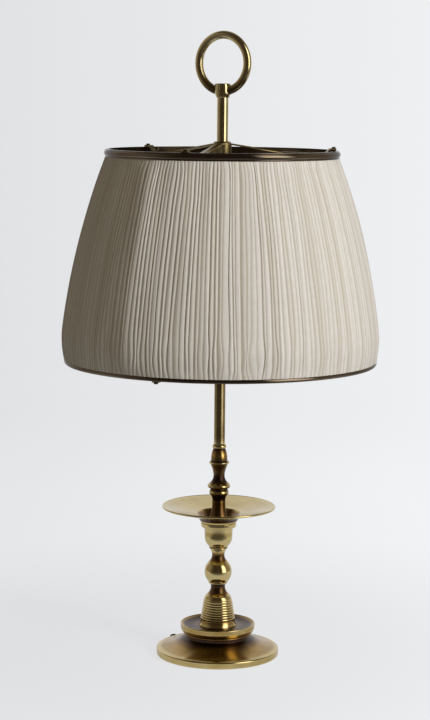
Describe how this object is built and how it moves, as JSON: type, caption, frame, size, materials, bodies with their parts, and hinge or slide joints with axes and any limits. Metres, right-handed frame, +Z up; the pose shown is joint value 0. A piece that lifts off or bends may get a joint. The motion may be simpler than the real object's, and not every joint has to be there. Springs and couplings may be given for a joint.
{
  "type": "candlestick lamp",
  "caption": "Turned candlestick lamp with drip pan, ring handle on the stem, and a tapered pleated shade that slides and turns on the stem.",
  "frame": {"origin": "centre of the base on the surface it stands on", "axes": "+Z up along the stem, +X to the right and +Y to the back as seen from the front"},
  "size_m": [0.3698, 0.3698, 0.7319],
  "materials": {
    "polished_brass": "turned and polished brass, slightly aged",
    "aged_brass": "brown aged brass moulding",
    "green_felt": "pressed wool felt",
    "cast_iron": "as cast",
    "zinc_steel": "zinc-plated steel",
    "black_rubber": "moulded",
    "dark_steel": "blackened screw",
    "steel_wire": "brassed steel wire",
    "lining_cloth": "plain woven lining",
    "ivory_cloth": "narrow pleated ivory cloth",
    "black_bakelite": "moulded insulating plastic",
    "white_porcelain": "unglazed porcelain",
    "nickel_cap": "rolled screw cap",
    "bulb_glass": "clear glass"
  },
  "bodies": {
    "stand": {"foot": "polished_brass", "ballast_disc": "cast_iron", "base_felt": "green_felt", "cord_gland": "black_rubber", "foot_nut": "zinc_steel", "foot_washer": "zinc_steel", "tie_tube": "zinc_steel", "ribbed_shaft": "polished_brass", "candle_cup": "polished_brass", "drip_pan": "polished_brass", "stem_holder": "polished_brass", "stem_tube": "polished_brass", "ring_ferrule": "polished_brass", "handle_ring": "polished_brass", "ferrule_pin": "polished_brass", "cluster_body": "polished_brass", "cluster_screw": "dark_steel", "cluster_arm_left": "polished_brass", "cluster_arm_right": "polished_brass", "lampholder_cap_left": "polished_brass", "lampholder_cap_right": "polished_brass", "lampholder_shell_left": "black_bakelite", "lampholder_shell_right": "black_bakelite", "lampholder_contact_left": "white_porcelain", "lampholder_contact_right": "white_porcelain", "bulb_cap_left": "nickel_cap", "bulb_cap_right": "nickel_cap", "bulb_glass_left": "bulb_glass", "bulb_glass_right": "bulb_glass"},
    "height_collar": {"clamp_collar": "polished_brass"},
    "thumb_screw": {"clamp_screw": "polished_brass"},
    "shade": {"shade_spider": "aged_brass", "arm_screws": "dark_steel", "top_rim": "aged_brass", "bottom_rim": "aged_brass", "shade_strut_right": "steel_wire", "shade_strut_back": "steel_wire", "shade_strut_front": "steel_wire", "strut_screws": "dark_steel", "lining": "lining_cloth", "pleated_cover": "ivory_cloth"}
  },
  "joints": [
    {"name": "shade_height", "type": "slide", "parent": "stand", "child": "height_collar", "axis": [0, 0, 1], "range_m": [-0.06, 0.045]},
    {"name": "shade_turn", "type": "hinge", "parent": "height_collar", "child": "shade", "pos_m": [0, 0, 0.588], "axis": [0, 0, 1], "continuous": true},
    {"name": "clamp_turn", "type": "hinge", "parent": "height_collar", "child": "thumb_screw", "pos_m": [0.01, -0.01732, 0.579], "axis": [0.5, -0.866, 0], "range_deg": [0, 360]}
  ]
}
